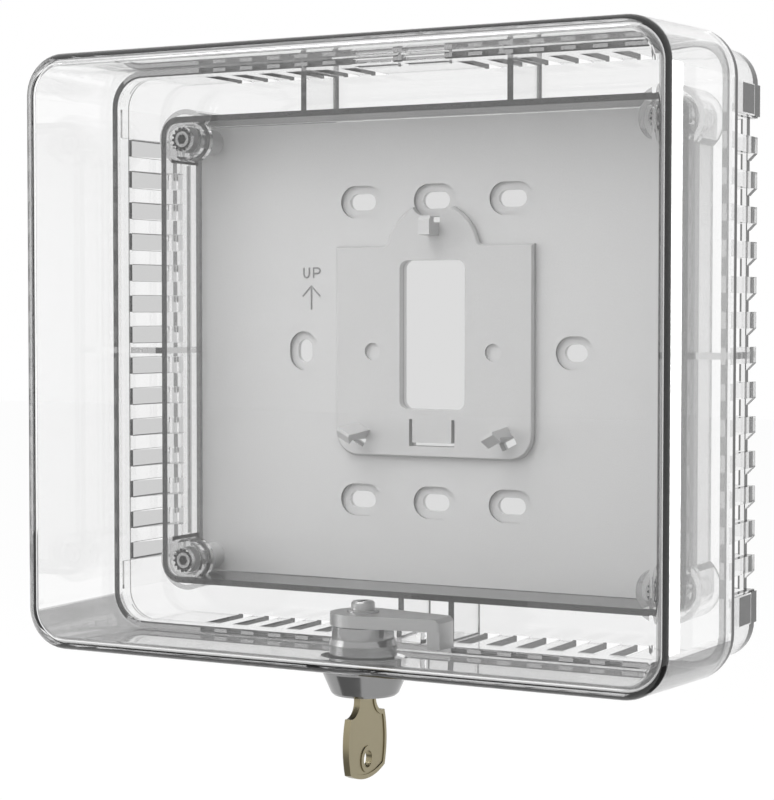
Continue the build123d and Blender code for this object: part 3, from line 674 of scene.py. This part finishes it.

# Painted shade on one side only, as the photograph shows them: bands along the walls at the right and at
# the left, and the stops at the right.
ring_side_painted_shade = [
    zone(0.8, x=inner_wall_x, depth=(12.6, inner_wall_depth), z=(-54, 54)),
    zone(0.75, x=outer_x, depth=(2.0, 4.8), z=slotted_z),
    zone(0.75, x=outer_x, depth=(7.1, 8.8), z=slotted_z),
    zone(0.97, x=stop_outside_x, depth=(4.5, 13.4), z=(61, 68.4)),
    zone(0.97, x=stop_outside_x, depth=(4.5, 13.4), z=(-68.4, -61)),
    zone(0.7, x=-channel_x, depth=(20.9, 21.4), z=slotted_z),
    zone(0.6, x=-plate_side_x, depth=(8.6, 10.2), z=(-53, 53)),
    zone(0.8, x=-plate_side_x, depth=(0.5, 5.3), z=(-58, 58)),
    zone(0.4, x=-inner_wall_x, depth=(6.8, 8.2), z=(-58, 58)),
]
ring_material = clear_plastic("clear_ring", absorbing=80.0, roughness=0.02, shadow_tint=0.9,
                              quarter_zones=ring_painted_shade, row_zones=ring_row_painted_shade,
                              side_zones=ring_side_painted_shade)
dress("ring_base", ring_material)


# Ring screws: zinc plated steel with a socket in a low round head. Each goes through a lug of the
# ring into a post of the plate.
metal_mark_detail, metal_mark_height = 2.0, 0.02


def polished_metal(name, colour, roughness, marks, mark_size, zones=()):
    """Plated or polished metal whose gloss wanders a little, with faint marks and painted shade in recesses.
    """
    material = bpy.data.materials.new(name)
    material.use_nodes = True
    tree, (shader, out) = new_nodes(material, "ShaderNodeBsdfPrincipled", "ShaderNodeOutputMaterial")
    place, _, quarter, facing = part_places(tree)
    shader.inputs["Metallic"].default_value = 1.0
    if zones:
        shade = shade_zones(tree, quarter, facing, zones)
        tree.links.new(darkened(tree, colour, shade), shader.inputs["Base Color"])
    else:
        shader.inputs["Base Color"].default_value = list(colour) + [1.0]
    grained(tree, place, shader, roughness, mark_size, metal_mark_detail, marks, metal_mark_height)
    tree.links.new(shader.outputs[0], out.inputs["Surface"])
    return material


screw_x, screw_z = 72.1, 59.9
socket_half, socket_depths = 1.6, (17.0, 18.65)
# Painted shade: the faces inside the socket of each screw are turned almost black.
screw_socket_painted_shade = [
    zone(0.97, x=(screw_x - socket_half, screw_x + socket_half), depth=socket_depths,
         z=(screw_z - socket_half, screw_z + socket_half), turned="depth", least=-1.0),
]
screw_material = polished_metal("screw_steel", (0.3, 0.3, 0.3), 0.15, marks=0.1, mark_size=2.0,
                                zones=screw_socket_painted_shade)
for number in range(1, 5):
    dress(f"ring_screw_{number}", screw_material)


# Toothed rings: spring steel, blackened and pressed on the rim of each screw head. The teeth stand
# out round the head and keep the screw from turning loose in the lug.
tooth_count = 14
corners_per_tooth = 4
tooth_root, tooth_tip, tooth_bore = 2.72, 3.42, 2.25
tooth_bend = 0.15
washer_low, washer_high = 17.7, 18.78
washer_material = polished_metal("washer_steel", (0.02, 0.02, 0.02), 0.3, marks=0.1, mark_size=2.0)


def turned_band(name, sections, material):
    """Closed mesh through like sections that go once round an axis, each a list of points in millimetres."""
    form = bmesh.new()
    rings = [[form.verts.new(Vector(point) * millimetre) for point in section] for section in sections]
    for step, corners in enumerate(rings):
        following = rings[(step + 1) % len(rings)]
        for side, corner in enumerate(corners):
            other = (side + 1) % len(corners)
            form.faces.new((corner, corners[other], following[other], following[side]))
    bmesh.ops.recalc_face_normals(form, faces=form.faces)
    mesh = bpy.data.meshes.new(name)
    form.to_mesh(mesh)
    form.free()
    mesh.materials.append(material)
    return placed(name, mesh)


def toothed_ring(x, z):
    """Sections of a flat ring with slightly bent teeth, parallel to the wall round a screw head."""
    sections = []
    steps = tooth_count * corners_per_tooth
    for step in range(steps):
        turn = 2 * pi * step / steps
        on_tooth = step % corners_per_tooth < corners_per_tooth / 2
        reach = tooth_tip if on_tooth else tooth_root
        rim = washer_high - tooth_bend if on_tooth else washer_high
        outline = ((tooth_bore, washer_low), (reach, washer_low), (reach, rim), (tooth_bore, washer_high))
        along_x, along_z = cos(turn), sin(turn)
        sections.append([(x + radius * along_x, -depth, z + radius * along_z) for radius, depth in outline])
    return sections


for number, (side, level) in enumerate(((-1, -1), (-1, 1), (1, -1), (1, 1)), start=1):
    sections = toothed_ring(side * screw_x, level * screw_z)
    washer = turned_band(f"star_washer_{number}", sections, washer_material)
    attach(washer, "base")


# Cover: a deep clear moulding, hooked to the ring at the top and locked at the bottom. Its rounded
# front edge bends the light most and carries painted shade, so it shows as a grey line; its top and
# bottom walls carry painted shade too.
front_edge, walls = (64.0, 68.1), (24, 64)
left_edge, right_edge = (-95, -84), (84, 95)
whole_x, whole_z = (-95, 95), (-90, 90)
cover_painted_shade = [
    zone(0.38, x=(0, 95), depth=front_edge, z=(70, 90), turned="depth", least=0.44, most=0.98),
]
cover_side_painted_shade = [
    zone(0.55, x=left_edge, depth=front_edge, z=whole_z, turned="depth", least=0.3, most=0.99),
    zone(0.4, x=right_edge, depth=front_edge, z=whole_z, turned="depth", least=0.2, most=0.84),
    zone(0.25, x=whole_x, depth=walls, z=(78, 90), turned="z", least=0.95),
    zone(0.36, x=whole_x, depth=walls, z=(-90, -70), turned="depth", least=-1.0, most=0.3),
]
cover_material = clear_plastic("clear_cover", absorbing=6.0, roughness=0.01, shadow_tint=0.97,
                               quarter_zones=cover_painted_shade, row_zones=[], side_zones=cover_side_painted_shade)
dress("cover", cover_material)


# Lock housing, washer and nut: turned brass with a polished nickel plate. The conical head lies below
# the cover with the washer on it, and the nut inside the cover clamps them to its bottom wall.
lock_material = polished_metal("lock_metal", (0.27, 0.27, 0.27), 0.16, marks=0.05, mark_size=4.0)
for node in ("lock_housing", "lock_washer", "lock_nut"):
    dress(node, lock_material)


# Lock plug: turned steel that the key turns inside the housing. A black disc with a slot for the key
# sits at its lower end and rides with the plug: painted shade of the keyway.
plug_material = polished_metal("plug_metal", (0.12, 0.12, 0.12), 0.25, marks=0.05, mark_size=4.0)
dress("lock_plug", plug_material)
lock_y = -43.5
keyway_shade_top, keyway_shade_bottom = -87.95, -88.9
keyway_shade_radius, keyway_shade_bevel = 5.0, 0.3
keyway_shade_slot_x, keyway_shade_slot_y = 1.15, 4.5
keyway_shade_steps = 72
keyway_shade_material = moulded_plastic("keyway_painted_shade_black", 0.012, roughness=0.4, variation=0.1, grain_size=0.6,
                                   grain_height=0.05)


def slotted_disc():
    """Sections of a disc round the axis of the lock with a slot for the key and a bevelled lower rim."""
    sections = []
    for step in range(keyway_shade_steps):
        turn = 2 * pi * step / keyway_shade_steps
        away_x, away_y = cos(turn), sin(turn)
        inner = min(keyway_shade_slot_x / max(abs(away_x), 1e-6), keyway_shade_slot_y / max(abs(away_y), 1e-6))
        outline = (
            (inner, keyway_shade_top),
            (keyway_shade_radius, keyway_shade_top),
            (keyway_shade_radius, keyway_shade_bottom + keyway_shade_bevel),
            (keyway_shade_radius - keyway_shade_bevel, keyway_shade_bottom),
            (inner, keyway_shade_bottom),
        )
        sections.append([(radius * away_x, lock_y + radius * away_y, level) for radius, level in outline])
    return sections


keyway_shade_disc = turned_band("keyway_painted_shade_disc", slotted_disc(), keyway_shade_material)
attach(keyway_shade_disc, "plug_body")


# Wafers and springs: punched brass plates in slots of the plug, each pushed out by a small coil of
# bright steel. They only show when the lock is taken apart.
wafer_material = polished_metal("wafer_brass", (0.7, 0.58, 0.3), 0.35, marks=0.2, mark_size=0.5)
spring_material = polished_metal("spring_steel", (0.6, 0.6, 0.6), 0.2, marks=0.2, mark_size=0.5)
for number in range(1, 6):
    dress(f"wafer_{number}", wafer_material)
    dress(f"wafer_spring_{number}", spring_material)


# Cam: a bent arm of zinc plated steel on the tail of the plug, held by a washer and a screw. Its nose
# turns behind the catch of the ring.
cam_material = polished_metal("cam_steel", (0.34, 0.34, 0.34), 0.32, marks=0.1, mark_size=3.0)
for node in ("cam", "cam_washer", "cam_screw"):
    dress(node, cam_material)


# Key: cut from flat brass, with its blade in the plug and its bow below the lock. The bow has a hole
# for a key ring.
key_material = polished_metal("key_brass", (0.29, 0.255, 0.165), 0.3, marks=0.15, mark_size=3.0)
dress("key", key_material)
